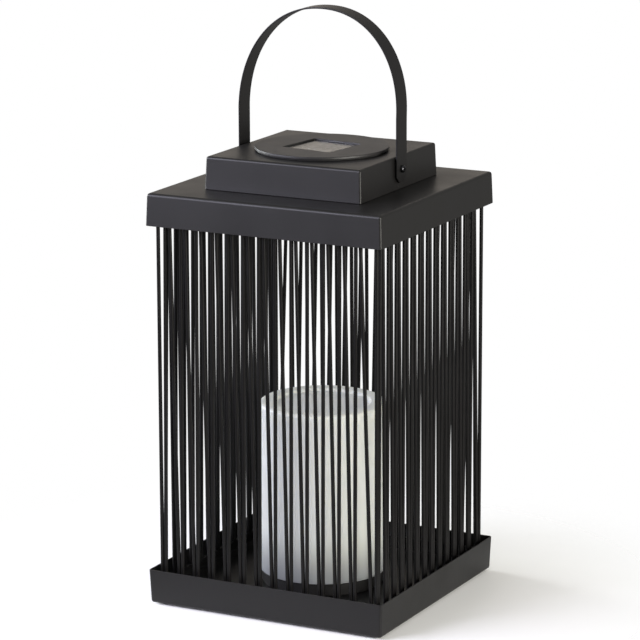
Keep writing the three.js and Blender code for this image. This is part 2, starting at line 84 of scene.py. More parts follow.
right, up, back = camera_axes(VIEW_AZIMUTH, VIEW_ELEVATION, VIEW_ROLL)
lens = bpy.data.cameras.new("camera")
lens.sensor_width = 36
lens.lens = 190.6
lens.clip_start = 0.1
lens.clip_end = 100
camera = bpy.data.objects.new("camera", lens)
camera.matrix_world = Matrix((right, up, back)).transposed().to_4x4()
camera.location = AIM + right * SIDE_STEP + back * VIEW_DISTANCE
bpy.context.scene.collection.objects.link(camera)
bpy.context.scene.camera = camera
print("camera at", [round(v, 3) for v in camera.location], "m")

# %% [markdown]
# ## Nodes and colours
# Every material and every Geometry Nodes tree below is built with one small function, which adds
# a node, sets it up and links it. Colours are picked as sRGB hex values, the way a paint chart
# gives them, and turned to the linear numbers that the renderer works in.


# %% One function adds a node, one turns a colour to linear
def add(tree, kind, inputs=None, **settings):
    """Adds one node to a tree. An input is a plain value, or another node's output to link."""
    made = tree.nodes.new(kind)
    for name, value in settings.items():
        setattr(made, name, value)
    for key, value in (inputs or {}).items():
        if isinstance(value, bpy.types.NodeSocket):
            tree.links.new(value, made.inputs[key])
        else:
            made.inputs[key].default_value = value
    return made


def linear(hex_colour):
    """sRGB hex, such as "#808080", as linear red, green, blue and alpha 1."""
    channels = [int(hex_colour[i:i + 2], 16) / 255 for i in (1, 3, 5)]
    return [c / 12.92 if c <= 0.04045 else ((c + 0.055) / 1.055) ** 2.4 for c in channels] + [1.0]


def per_size(millimetres):
    """The scale of a noise or voronoi texture whose features are about that many mm across."""
    return 1 / (millimetres * MM)


def mix_colours(tree, factor, first, second):
    """Mixes two colours, and gives the colour output to link on."""
    mixed = add(tree, "ShaderNodeMix", {"Factor": factor, "A": first, "B": second}, data_type="RGBA")
    return [s for s in mixed.outputs if s.type == "RGBA"][0]


print("mid grey #808080 is", round(linear("#808080")[0], 3), "in linear light")

# %% [markdown]
# ## The studio
# A black object is drawn by what it reflects, more than by the light that falls on it. So the
# stage is a set of large soft panels, each where one group of faces mirrors it: a tall panel in
# front on the left for the front faces and a low, dim one behind for the flat tops. Two low panels
# at the sides light the candle through the rods, where no flat face can mirror them, and a last
# one overhead is faint. The floor is pale and fades into a white backdrop.


# %% Floor, backdrop and soft light
def soft_panel(name, azimuth, height, distance, size, power, colour="#ffffff", aim_height=0.2):
    """A rectangular light on a circle around the lantern, facing it. Azimuth 0 is the front."""
    data = bpy.data.lights.new(name, "AREA")
    data.shape = "RECTANGLE"
    data.size, data.size_y = size
    data.energy = power
    data.color = linear(colour)[:3]
    panel = bpy.data.objects.new(name, data)
    angle = math.radians(azimuth)
    panel.location = (math.sin(angle) * distance, -math.cos(angle) * distance, height)
    toward = Vector((0, 0, aim_height)) - Vector(panel.location)
    panel.rotation_euler = toward.to_track_quat("-Z", "Y").to_euler()
    bpy.context.scene.collection.objects.link(panel)


soft_panel("panel_front_left", azimuth=-42, height=1.0, distance=1.9, size=(1.4, 1.1), power=56,
           colour="#ecebff")
soft_panel("panel_left", azimuth=-96, height=0.6, distance=1.9, size=(0.9, 0.7), power=40, colour="#f4f8f8")
soft_panel("panel_right", azimuth=72, height=0.6, distance=2.0, size=(0.8, 0.7), power=52, colour="#fbf8f0")
soft_panel("panel_behind", azimuth=-150, height=0.75, distance=2.2, size=(2.2, 0.9), power=3.4,
           colour="#ffeeda")
soft_panel("panel_over", azimuth=0, height=2.4, distance=1.0, size=(1.8, 1.8), power=6)

world = bpy.data.worlds.new("studio")
world.use_nodes = True
bpy.context.scene.world = world
sky = world.node_tree
sky.nodes.clear()
path = add(sky, "ShaderNodeLightPath")
dim = add(sky, "ShaderNodeBackground", {"Color": linear("#f6f5f3"), "Strength": 0.32})
white = add(sky, "ShaderNodeBackground", {"Color": linear("#ffffff"), "Strength": 1.0})
either = add(sky, "ShaderNodeMixShader", {
    0: path.outputs["Is Camera Ray"], 1: dim.outputs[0], 2: white.outputs[0]})
add(sky, "ShaderNodeOutputWorld", {"Surface": either.outputs[0]})


def fading_floor():
    """A pale round floor that turns clear towards its rim, so that it has no visible edge."""
    material = bpy.data.materials.new("pale_floor")
    material.use_nodes = True
    tree = material.node_tree
    tree.nodes.clear()
    place = add(tree, "ShaderNodeTexCoord")
    reach = add(tree, "ShaderNodeVectorMath", {0: place.outputs["Object"]}, operation="LENGTH")
    fade = add(tree, "ShaderNodeMapRange", {
        "Value": reach.outputs["Value"], "From Min": 0.12, "From Max": 0.34}, interpolation_type="SMOOTHSTEP")
    paint = add(tree, "ShaderNodeBsdfPrincipled", {"Base Color": linear("#fbfbfa"), "Roughness": 0.6})
    clear = add(tree, "ShaderNodeBsdfTransparent")
    mix = add(tree, "ShaderNodeMixShader", {
        0: fade.outputs["Result"], 1: paint.outputs[0], 2: clear.outputs[0]})
    add(tree, "ShaderNodeOutputMaterial", {"Surface": mix.outputs[0]})
    return material


floor_mesh = bpy.data.meshes.new("floor")
disc = bmesh.new()
bmesh.ops.create_circle(disc, cap_ends=True, segments=96, radius=1.0)
disc.to_mesh(floor_mesh)
disc.free()
floor = bpy.data.objects.new("floor", floor_mesh)
floor_mesh.materials.append(fading_floor())
bpy.context.scene.collection.objects.link(floor)
bpy.context.scene.view_settings.view_transform = "Standard"
print("stage: 5 panels, a white backdrop and a pale floor")

# %% [markdown]
# ## Powder-coated steel
# The tray, the cap and the housing are folded from 1 mm mild steel and powder coated matt black.
# The powder melts into a skin with a fine orange peel about 1 mm across, over a finer grit, so
# its highlights are broad and a little uneven. The base colour is a very dark warm grey, and the
# rest of the look is the roughness and the bump. The tray has a darker setting of the same coat,
# which makes up for how strongly the panels light it.


# %% Powder coat
def new_material(name):
    """An empty node material, its tree, and the object coordinates that every pattern reads."""
    material = bpy.data.materials.new(name)
    material.use_nodes = True
    tree = material.node_tree
    tree.nodes.clear()
    return material, tree, add(tree, "ShaderNodeTexCoord").outputs["Object"]


def noise(tree, place, size, detail):
    """Noise with features about size mm across."""
    inputs = {"Vector": place, "Scale": per_size(size), "Detail": detail}
    return add(tree, "ShaderNodeTexNoise", inputs).outputs["Fac"]


def around(tree, value, middle, swing, low=0.0, high=1.0):
    """Maps a value between low and high to middle, give or take swing."""
    return add(tree, "ShaderNodeMapRange", {
        "Value": value, "From Min": low, "From Max": high,
        "To Min": middle - swing, "To Max": middle + swing}).outputs["Result"]


def bumped(tree, height, rise, strength, under=None):
    """A bump that rises by so many mm, on top of another one where there is one."""
    inputs = {"Height": height, "Distance": rise * MM, "Strength": strength}
    if under is not None:
        inputs["Normal"] = under
    return add(tree, "ShaderNodeBump", inputs).outputs["Normal"]


def with_surface(material, inputs):
    """Ends a material with one principled surface."""
    tree = material.node_tree
    face = add(tree, "ShaderNodeBsdfPrincipled", inputs)
    add(tree, "ShaderNodeOutputMaterial", {"Surface": face.outputs[0]})
    return material


def powder_coated_steel(name, colour, roughness, peel, grit_depth, shine):
    """Black powder coat. peel is the size in mm of its orange peel, shine its specular level."""
    material, tree, place = new_material(name)
    clouds = noise(tree, place, 45, 3.0)
    coarse = bumped(tree, noise(tree, place, peel, 2.0), 0.05, 0.6)
    fine = bumped(tree, noise(tree, place, 0.35, 3.0), grit_depth, 0.6, under=coarse)
    return with_surface(material, {
        "Base Color": mix_colours(tree, clouds, linear(colour[0]), linear(colour[1])),
        "Roughness": around(tree, clouds, roughness, 0.05, low=0.3, high=0.7),
        "Specular IOR Level": shine, "Normal": fine})


black_coat = powder_coated_steel("powder_coated_steel", ("#111010", "#161514"), 0.43, 1.1, 0.03, shine=0.4)
tray_coat = powder_coated_steel("powder_coated_tray", ("#0d0c0c", "#121111"), 0.43, 1.1, 0.03, shine=0.3)
wire_coat = powder_coated_steel("powder_coated_wire", ("#0b0a0a", "#100f0f"), 0.42, 0.9, 0.01, shine=0.2)
strap_coat = powder_coated_steel("powder_coated_strap", ("#100f0f", "#151414"), 0.42, 1.0, 0.02, shine=0.3)
print("powder coats:", black_coat.name, tray_coat.name, wire_coat.name, strap_coat.name)

# %% [markdown]
# ## Moulded plastic, rubber and cable sheath
# The solar disc, its case and the candle's foot are black ABS from a spark-eroded mould: a fine
# even grain of about half a millimetre. Rubber and the cable's sheath are smoother, softer
# blacks. They differ only in colour, roughness and grain, so one recipe serves them all.


# %% Moulded and extruded plastics
def moulded_plastic(name, colour, roughness, grain, depth, ior=1.54):
    """A plastic with a fine grain. grain is its size and depth its height, both in mm."""
    material, tree, place = new_material(name)
    pits = add(tree, "ShaderNodeTexVoronoi", {"Vector": place, "Scale": per_size(grain)}, feature="SMOOTH_F1")
    return with_surface(material, {
        "Base Color": linear(colour), "IOR": ior,
        "Roughness": around(tree, noise(tree, place, 18, 4.0), roughness, 0.06),
        "Normal": bumped(tree, pits.outputs["Distance"], depth, 0.5)})


black_abs = moulded_plastic("moulded_black_abs", "#1b1a1a", 0.5, 0.5, 0.02)
rubber = moulded_plastic("moulded_rubber", "#171717", 0.75, 0.4, 0.03, ior=1.52)
pvc_sheath = moulded_plastic("extruded_pvc_sheath", "#131313", 0.45, 0.8, 0.01, ior=1.53)
white_abs = moulded_plastic("moulded_white_abs", "#d8d8d5", 0.4, 0.5, 0.02)
sleeve = moulded_plastic("printed_shrink_sleeve", "#2f6e47", 0.3, 2.0, 0.01)
lens_resin = moulded_plastic("cast_diode_lens", "#f3e7c8", 0.12, 1.0, 0.005)
solder_mask = moulded_plastic("green_solder_mask", "#1d4a31", 0.35, 0.6, 0.01)
print("plastics: 7")

# %% [markdown]
# ## Zinc plate and blacked screws
# Nuts and washers are zinc plated: a pale bluish metal whose brightness breaks up into fine
# spangle. The visible screws are chemically blacked steel, dark but still metallic, so their
# domed heads catch one small bright highlight.


# %% Plated and blacked steel
def plated_steel(name, colour, roughness, metallic):
    """Plated hardware: a metal with a slight, fine variation in roughness."""
    material, tree, place = new_material(name)
    return with_surface(material, {
        "Base Color": linear(colour), "Metallic": metallic,
        "Roughness": around(tree, noise(tree, place, 0.8, 3.0), roughness, 0.08)})


zinc = plated_steel("zinc_plated_steel", "#bfc3c8", 0.3, 1.0)
blacked = plated_steel("blacked_steel", "#4a4a4d", 0.28, 1.0)
print("metals:", zinc.name, blacked.name)

# %% [markdown]
# ## The candle's wax-like plastic
# The pillar is moulded in translucent polypropylene that copies paraffin wax. Light goes a few
# millimetres into it and comes out again, which softens every edge and fills in its shadows, so
# it is drawn with subsurface scattering over a faint, broad mottle. The lowest few centimetres are
# painted greyer: a painted shade standing in for the shadow of the tray's walls.


# %% Translucent candle plastic
def candle_plastic():
    material, tree, place = new_material("translucent_polypropylene")
    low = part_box("candle_shell")[0].z
    height = add(tree, "ShaderNodeSeparateXYZ", {0: place}).outputs["Z"]
    # Painted shade: the lowest 42 mm of the pillar are mixed toward grey #a3a6a8, standing in for the shadow
    # of the tray's walls.
    bottom_shade = add(tree, "ShaderNodeMapRange", {"Value": height, "From Min": low, "From Max": low + 42 * MM},
                 interpolation_type="SMOOTHSTEP")
    mottled = mix_colours(tree, noise(tree, place, 22, 4.0), linear("#eff3ea"), linear("#f7faf2"))
    return with_surface(material, {
        "Base Color": mix_colours(tree, bottom_shade.outputs["Result"], linear("#a3a6a8"), mottled),
        "Roughness": 0.5, "IOR": 1.49, "Subsurface Weight": 0.6,
        "Subsurface Radius": (1.0, 0.95, 0.85), "Subsurface Scale": 6 * MM,
        "Normal": bumped(tree, noise(tree, place, 6, 2.0), 0.12, 0.5)})


candle_wax = candle_plastic()
print("candle:", candle_wax.name)

# %% [markdown]
# ## The solar cell and its cover
# A polycrystalline cell is a thin slice of blue-grey silicon crossed by silver fingers, about
# 2 mm apart, and two wider busbars. It lies under a clear acrylic plate, whose shine hides most
# of it from a low angle. The grid is worked out from the distance along the cell's own two
# directions, which are turned 8 degrees with the whole solar unit.


# %% Cell and clear cover
UNIT_TWIST = math.radians(-8)


def silicon_cell():
    material, tree, place = new_material("polycrystalline_silicon")
    straight = add(tree, "ShaderNodeMapping", {"Vector": place, "Rotation": (0, 0, -UNIT_TWIST)})
    grains = add(tree, "ShaderNodeTexVoronoi", {"Vector": straight.outputs[0], "Scale": per_size(5)})
    tone_colour = mix_colours(tree, grains.outputs["Distance"], linear("#14181a"), linear("#24292b"))
    parts = add(tree, "ShaderNodeSeparateXYZ", {0: straight.outputs[0]})

    def lines(coordinate, spacing, width, shift):
        """1 on thin lines across the cell, spacing and width in mm."""
        moved = add(tree, "ShaderNodeMath", {0: coordinate, 1: shift * MM}, operation="ADD")
        cell = add(tree, "ShaderNodeMath", {0: moved.outputs[0], 1: spacing * MM}, operation="PINGPONG")
        return add(tree, "ShaderNodeMath", {0: cell.outputs[0], 1: width * MM / 2}, operation="LESS_THAN")

    fingers = lines(parts.outputs["Y"], 1.0, 0.25, 0.0)
    busbars = lines(parts.outputs["X"], 10.5, 1.4, 10.5)
    silver = add(tree, "ShaderNodeMath", {0: fingers.outputs[0], 1: busbars.outputs[0]}, operation="MAXIMUM")
    both_colour = mix_colours(tree, silver.outputs[0], tone_colour, linear("#585b5b"))
    return with_surface(material, {"Base Color": both_colour, "Roughness": 0.45})


def clear_acrylic():
    """Clear acrylic, with its index set well under the true 1.49 to keep glare off the cell."""
    material, tree, place = new_material("clear_acrylic")
    return with_surface(material, {
        "Base Color": linear("#f4f6f7"), "IOR": 1.1, "Transmission Weight": 1.0,
        "Roughness": around(tree, noise(tree, place, 3, 5.0), 0.19, 0.07, low=0.45, high=0.75)})


cell_face = silicon_cell()
acrylic = clear_acrylic()
print("cell:", cell_face.name, "under", acrylic.name)

# %% [markdown]
# ## Mesh helpers
# Three ways of making a shape cover most of the lantern. A *lathe* turns a profile about the
# axis. A *stack* joins rings of points, which may be round or square, so a square pan with a
# round hole is one clean surface of quads. And a *block* is a box with its edges eased.


# %% Rings, stacks and lathes
QUADRANT = 90


def finish_object(name, bm, material, body, replaces=(), smooth=40):
    """Turns a bmesh into a piece that rides on a body: normals out, edges smooth below an angle."""
    bmesh.ops.remove_doubles(bm, verts=bm.verts, dist=1e-7)
    bmesh.ops.recalc_face_normals(bm, faces=bm.faces)
    mesh = bpy.data.meshes.new(name)
    bm.to_mesh(mesh)
    bm.free()
    piece = bpy.data.objects.new(name, mesh)
    bpy.context.scene.collection.objects.link(piece)
    return dress(piece, material, body, replaces, smooth)


def bake_modifiers(piece):
    """Keeps what a piece's modifiers make as its plain mesh."""
    ready = piece.evaluated_get(bpy.context.evaluated_depsgraph_get())
    mesh = bpy.data.meshes.new_from_object(ready)
    piece.modifiers.clear()
    piece.data = mesh


def dress(piece, material, body, replaces=(), smooth=40):
    """Gives a piece its finish and its smooth shading, and lets it ride on its body."""
    piece.data.materials.clear()
    piece.data.materials.append(material)
    piece.data.shade_smooth()
    piece.data.set_sharp_from_angle(angle=math.radians(smooth))
    weigh = piece.modifiers.new("flat_faces_lead", "WEIGHTED_NORMAL")
    weigh.keep_sharp = True
    bake_modifiers(piece)
    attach(piece, body)
    if replaces:
        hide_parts(*replaces)
    return piece


def square_ring(side, corner, z, edge_steps=6, corner_steps=6):
    """Points of a rounded square, the same count and order for every size, in mm."""
    points = []
    straight = side / 2 - corner
    for quadrant in range(4):
        turn = Matrix.Rotation(math.radians(QUADRANT * quadrant), 3, "Z")
        for i in range(edge_steps):
            points.append(turn @ Vector((side / 2, straight * i / edge_steps, z)))
        for i in range(corner_steps):
            angle = math.radians(QUADRANT) * i / corner_steps
            points.append(turn @ Vector((straight + corner * math.cos(angle),
                                         straight + corner * math.sin(angle), z)))
        for i in range(edge_steps):
            points.append(turn @ Vector((straight * (1 - i / edge_steps), side / 2, z)))
    return points


def round_ring(radius, z, like):
    """Points on a circle, at the same angles as the ring they will be joined to."""
    return [Vector((p.x, p.y, 0)).normalized() * radius + Vector((0, 0, z)) for p in like]


def stack(bm, rings, closed=False, matrix=Matrix.Identity(4)):
    """Joins rings of points, in mm, with quads. Ends are capped, or joined when closed."""
    loops = [[bm.verts.new(matrix @ (p * MM)) for p in ring] for ring in rings]
    pairs = list(zip(loops, loops[1:])) + ([(loops[-1], loops[0])] if closed else [])
    for low, high in pairs:
        for i in range(len(low)):
            j = (i + 1) % len(low)
            bm.faces.new((low[i], low[j], high[j], high[i]))
    if not closed:
        for loop in (loops[0], loops[-1]):
            centre = bm.verts.new(sum((v.co for v in loop), Vector()) / len(loop))
            for i in range(len(loop)):
                bm.faces.new((loop[i], loop[(i + 1) % len(loop)], centre))


def lathe(bm, profile, segments=64, closed=False, matrix=Matrix.Identity(4)):
    """Turns a profile of (radius, height) in mm about Z."""
    def circle(radius, z):
        step = 2 * math.pi / segments
        return [Vector((radius * math.cos(i * step), radius * math.sin(i * step),
                        z)) for i in range(segments)]
    stack(bm, [circle(r, z) for r, z in profile], closed, matrix)


def arc(centre, radius, start, end, steps):
    """Points of an arc in a profile, in mm, between two angles in degrees."""
    points = []
    for i in range(steps + 1):
        angle = math.radians(start + (end - start) * i / steps)
        points.append((centre[0] + radius * math.cos(angle), centre[1] + radius * math.sin(angle)))
    return points


def block(bm, size, centre, ease, matrix=Matrix.Identity(4)):
    """A box with eased edges, in mm."""
    made = bmesh.ops.create_cube(bm, size=1, matrix=matrix @ Matrix.Translation(Vector(centre) * MM)
                                 @ Matrix.Diagonal((*(Vector(size) * MM), 1)))
    edges = list({e for v in made["verts"] for e in v.link_edges})
    bmesh.ops.bevel(bm, geom=edges, offset=ease * MM, segments=2, affect="EDGES", profile=0.6)


print("helpers ready")

# %% [markdown]
# ## Folded pans
# The cap and the housing are pans folded from sheet: four sides bent down from a flat top with a
# 2 to 3 mm radius. Seen close, what makes folded sheet look like sheet is that soft bend, the
# slight draft of the sides and the thin raw edge below. Each is built as one stack of rings that
# runs up the outside, over the bend, across the top and back down the inside.

# %% Cap and housing
SHEET = 1.0


def bend_rings(side, corner, top, radius, steps=5):
    """Rings around a bend, from the top of the side wall to the edge of the flat top."""
    rings = []
    for i in range(steps + 1):
        angle = math.radians(90 * i / steps)
        pulled = radius * (1 - math.cos(angle))
        rings.append((side - 2 * pulled, max(corner - pulled, 0.6), top - radius + radius * math.sin(angle)))
    return rings


def pan_rings(open_side, top_side, low, top, bend, corner):
    """A pan's outside, from its open edge up and over its bend."""
    edge = [(open_side - 0.5, corner, low), (open_side, corner, low + 0.25)]
    return [square_ring(*r) for r in edge + bend_rings(top_side, corner, top, bend)]


def pan_inside(open_side, top_side, low, top, bend, corner):
    """A pan's inside, from the middle of its underside down to its open edge."""
    inner = bend_rings(top_side - 2 * SHEET, corner - SHEET, top - SHEET, bend - SHEET)[::-1]
    edge = [(open_side - 2 * SHEET, corner - SHEET, low + 0.25),
            (open_side - 2 * SHEET + 0.5, corner - SHEET, low)]
    return [square_ring(*r) for r in inner + edge]


cap_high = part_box("lid_cap")[1]
cap_top = cap_high.z / MM
cap_skirt = cap_top - 25.4
cap_sizes = dict(open_side=201.2, top_side=199.6, low=cap_skirt, top=cap_top, bend=2.5, corner=1.8)
cap_outside = pan_rings(**cap_sizes)
cap_inside = pan_inside(**cap_sizes)
socket_radius = 5.9
shell = bmesh.new()
stack(shell, cap_outside + [
    round_ring(60, cap_top, cap_outside[-1]), round_ring(socket_radius, cap_top, cap_outside[-1]),
    round_ring(socket_radius, cap_top - SHEET, cap_outside[-1]),
    round_ring(60, cap_top - SHEET, cap_outside[-1]),
] + cap_inside, closed=True)
finish_object("lid_cap_sheet", shell, black_coat, "root", ["lid_cap"], smooth=30)

housing_low, housing_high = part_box("solar_housing")
deck = housing_high.z / MM
housing_foot = housing_low.z / MM
housing_sizes = dict(open_side=134, top_side=132.3, low=housing_foot, top=deck, bend=2, corner=1.5)
housing_outside = pan_rings(**housing_sizes)
housing_inside = pan_inside(**housing_sizes)
UNIT_HOLE = 46.5
shell = bmesh.new()
stack(shell, housing_outside + [
    round_ring(UNIT_HOLE, deck, housing_outside[-1]),
    round_ring(UNIT_HOLE, deck - SHEET, housing_outside[-1]),
] + housing_inside[:-1] + [
    square_ring(132, 1.0, housing_foot + SHEET), square_ring(110, 1.0, housing_foot + SHEET),
    square_ring(110, 1.0, housing_foot),
], closed=True)
finish_object("solar_housing_sheet", shell, black_coat, "root", ["solar_housing"], smooth=30)
print("cap top at", round(cap_top, 1), "mm, deck at", round(deck, 1), "mm")

# %% [markdown]
# ## The tray
# The tray is the same kind of pan, open end up. Its bottom edge is turned in to a lip that the
# rubber feet stick to, and the floor is a plate welded in a few millimetres higher, so the
# candle's screw heads stay clear of the ground.

# %% Tray
tray_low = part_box("base_tray")[0]
base = tray_low.z / MM
TRAY_TOP, TRAY_FOOT, TRAY_HEIGHT, TRAY_FLOOR, TRAY_LIP = 203.2, 201.3, 27, 5.7, 14
rim = base + TRAY_HEIGHT
floor_top = base + TRAY_FLOOR
outer_wall = [square_ring(r[0], r[1], 2 * base + TRAY_HEIGHT - r[2])
              for r in bend_rings(TRAY_FOOT, 2.2, base + TRAY_HEIGHT, 2.5)]
inner_foot = TRAY_FOOT - 2 * SHEET
shell = bmesh.new()
stack(shell, [
    square_ring(60, 2.5, floor_top),
    square_ring(inner_foot - 1.2, 2.5, floor_top),
    square_ring(inner_foot - 0.3, 2.5, floor_top + 0.3),
    square_ring(inner_foot + 0.1, 2.5, floor_top + 1.2),
    square_ring(TRAY_TOP - 2 * SHEET, 1.4, rim - 0.25),
    square_ring(TRAY_TOP - 2 * SHEET + 0.5, 1.5, rim),
    square_ring(TRAY_TOP - 0.5, 2.1, rim),
    square_ring(TRAY_TOP, 2.2, rim - 0.25),
] + outer_wall + [
    square_ring(TRAY_FOOT - 2 * TRAY_LIP, 2, base),
    square_ring(TRAY_FOOT - 2 * TRAY_LIP, 2, base + SHEET),
    square_ring(inner_foot - 4, 2, base + SHEET),
    square_ring(inner_foot - 4, 2, floor_top - SHEET),
    square_ring(60, 2.5, floor_top - SHEET),
])
finish_object("base_tray_sheet", shell, tray_coat, "root", ["base_tray"], smooth=30)
print("tray rim at", round(rim, 1), "mm, floor at", round(floor_top, 1), "mm")

# %% [markdown]
# ## The wire cage
# Each side has an upright corner post and 26 leaning rods. They meet in pairs at the tray and in
# other pairs at the cap, which gives the zigzag. Round 3 mm wire that follows straight lines is
# the plainest job for Geometry Nodes: the mesh holds one edge for each rod, and the tree turns
# the edges to curves, sweeps a circle along them and adds a small weld bead at every end.


# %% Geometry Nodes: wires with weld beads
def group_input(tree, name, kind, default=None, in_out="INPUT"):
    """Adds a named input to a Geometry Nodes tree."""
    socket = tree.interface.new_socket(name=name, in_out=in_out, socket_type=kind)
    if default is not None:
        socket.default_value = default
    return socket


def wire_tree():
    tree = bpy.data.node_groups.new("welded_wires", "GeometryNodeTree")
    for name, kind, default in (
            ("Geometry", "NodeSocketGeometry", None), ("Wire Radius", "NodeSocketFloat", 1.5 * MM),
            ("Wire Sides", "NodeSocketInt", 20), ("Bead Radius", "NodeSocketFloat", 1.7 * MM),
            ("Seed", "NodeSocketInt", 7), ("Material", "NodeSocketMaterial", None)):
        group_input(tree, name, kind, default)
    group_input(tree, "Geometry", "NodeSocketGeometry", in_out="OUTPUT")
    start = add(tree, "NodeGroupInput").outputs
    circle = add(tree, "GeometryNodeCurvePrimitiveCircle", {
        "Resolution": start["Wire Sides"], "Radius": start["Wire Radius"]})
    lines = add(tree, "GeometryNodeMeshToCurve", {"Mesh": start["Geometry"]})
    wires = add(tree, "GeometryNodeCurveToMesh", {
        "Curve": lines.outputs[0], "Profile Curve": circle.outputs[0], "Fill Caps": True})
    smooth = add(tree, "GeometryNodeSetShadeSmooth", {"Geometry": wires.outputs[0]})
    blob = add(tree, "GeometryNodeMeshIcoSphere", {"Radius": start["Bead Radius"], "Subdivisions": 2})
    size = add(tree, "FunctionNodeRandomValue", {
        "Min": (0.85, 0.85, 0.5), "Max": (1.05, 1.05, 0.8), "Seed": start["Seed"]}, data_type="FLOAT_VECTOR")
    beads = add(tree, "GeometryNodeInstanceOnPoints", {
        "Points": start["Geometry"], "Instance": blob.outputs[0], "Scale": size.outputs[0]})
    soft = add(tree, "GeometryNodeSetShadeSmooth", {"Geometry": beads.outputs[0]})
    both = add(tree, "GeometryNodeJoinGeometry")
    tree.links.new(soft.outputs[0], both.inputs[0])
    tree.links.new(smooth.outputs[0], both.inputs[0])
    real = add(tree, "GeometryNodeRealizeInstances", {"Geometry": both.outputs[0]})
    painted = add(tree, "GeometryNodeSetMaterial",
                  {"Geometry": real.outputs[0], "Material": start["Material"]})
    add(tree, "NodeGroupOutput", {"Geometry": painted.outputs[0]})
    return tree


def bake_nodes(name, points, edges, tree, settings, attributes=None):
    """Runs a tree on a plain mesh of points and edges, and keeps the result as a plain mesh."""
    seed_mesh = bpy.data.meshes.new(name + "_lines")
    seed_mesh.from_pydata([p * MM for p in points], edges, [])
    for key, values in (attributes or {}).items():
        layer = seed_mesh.attributes.new(key, "FLOAT_VECTOR", "POINT")
        layer.data.foreach_set("vector", [c for v in values for c in v])
    maker = bpy.data.objects.new(name + "_maker", seed_mesh)
    bpy.context.scene.collection.objects.link(maker)
    modifier = maker.modifiers.new("nodes", "NODES")
    modifier.node_group = tree
    for item in tree.interface.items_tree:
        if item.in_out == "INPUT" and item.name in settings:
            modifier[item.identifier] = settings[item.name]
    ready = maker.evaluated_get(bpy.context.evaluated_depsgraph_get())
    mesh = bpy.data.meshes.new_from_object(ready)
    mesh.name = name
    maker.modifiers.remove(modifier)
    bpy.data.objects.remove(maker)
    piece = bpy.data.objects.new(name, mesh)
    bpy.context.scene.collection.objects.link(piece)
    return piece


welded_wires = wire_tree()
print("tree inputs:", [i.name for i in welded_wires.interface.items_tree if i.in_out == "INPUT"])

# %% [markdown]
# The rods' places are worked out from a pitch and a half gap at each end. The front side is
# worked out once, and the others are the same side turned a quarter at a time.

# %% Four sides of rods
ROD_PLANE = 93.4
LOW_HEIGHT, HIGH_HEIGHT = base + 27.6, base + 297.4
RAIL_LOW, RAIL_HIGH = base + 16.5, base + 313.2


def rod_ends():
    """Each rod's x where it passes the tray's rim and where it passes the cap's skirt, in mm."""
    low = [-90.2]
    high = []
    for i in range(12):
        middle = -76.9 + 13.67 * i
        low += [middle - 1.6, middle + 1.6]
    low.append(88.8)
    for i in range(13):
        middle = -85.2 + 13.6 * i
        high += [middle - 2.0, middle + 2.0]
    return list(zip(low, high))


def side_lines():
    """Points and edges of one side's rods, and of its corner post."""
    points = []
    for low_x, high_x in rod_ends():
        slope = (high_x - low_x) / (HIGH_HEIGHT - LOW_HEIGHT)
        for z in (RAIL_LOW, RAIL_HIGH):
            points.append(Vector((low_x + slope * (z - LOW_HEIGHT), -ROD_PLANE, z)))
    points += [Vector((ROD_PLANE, -ROD_PLANE, base + 6.6)), Vector((ROD_PLANE, -ROD_PLANE, cap_top - 2.2))]
    return points, [(i, i + 1) for i in range(0, len(points), 2)]


line_points, line_edges = side_lines()
for quarter, side_name in enumerate(("front", "right", "back", "left")):
    turn = Matrix.Rotation(math.radians(90 * quarter), 3, "Z")
    rods = bake_nodes("cage_rods_" + side_name, [turn @ p for p in line_points], line_edges, welded_wires,
                      {"Wire Radius": 1.5 * MM, "Wire Sides": 20, "Bead Radius": 1.75 * MM,
                       "Seed": 7 + quarter,
                       "Material": wire_coat})
    dress(rods, wire_coat, "root", ["cage_" + side_name], smooth=40)
print("rods on each side:", len(line_edges), "of", len(rods.data.polygons), "faces in all")

# %% [markdown]
# Two square bars close the cage at the tray and under the cap, and a small plate in each corner
# takes the nut that holds it.

# %% Rails and corner tabs
RAIL = 3.4
TAB, TAB_THICK = 15, 1.5
frame_bars = bmesh.new()
for quarter in range(4):
    turn = Matrix.Rotation(math.radians(90 * quarter), 4, "Z")
    for z in (RAIL_LOW, RAIL_HIGH):
        block(frame_bars, (2 * ROD_PLANE - RAIL + 1.4, RAIL, RAIL), (0.9, -ROD_PLANE, z), 0.35, turn)
    for z in (base + 6.0 + TAB_THICK / 2, cap_top - 1.3 - TAB_THICK / 2):
        middle = ROD_PLANE - TAB / 2 + 1
        block(frame_bars, (TAB, TAB, TAB_THICK), (middle, -middle, z), 0.3, turn)
rails = finish_object("cage_rails", frame_bars, wire_coat, "root", smooth=40)
print("rails and tabs:", len(rails.data.polygons), "faces")

# %% [markdown]
# ## Screws and nuts
# Fasteners repeat, so one pan head and one nut are modelled and set out by a second tree. Every
# point carries the direction its head faces. The tree turns the fastener that way, then spins it
# by a seeded random angle, since no two screws stop at the same turn.


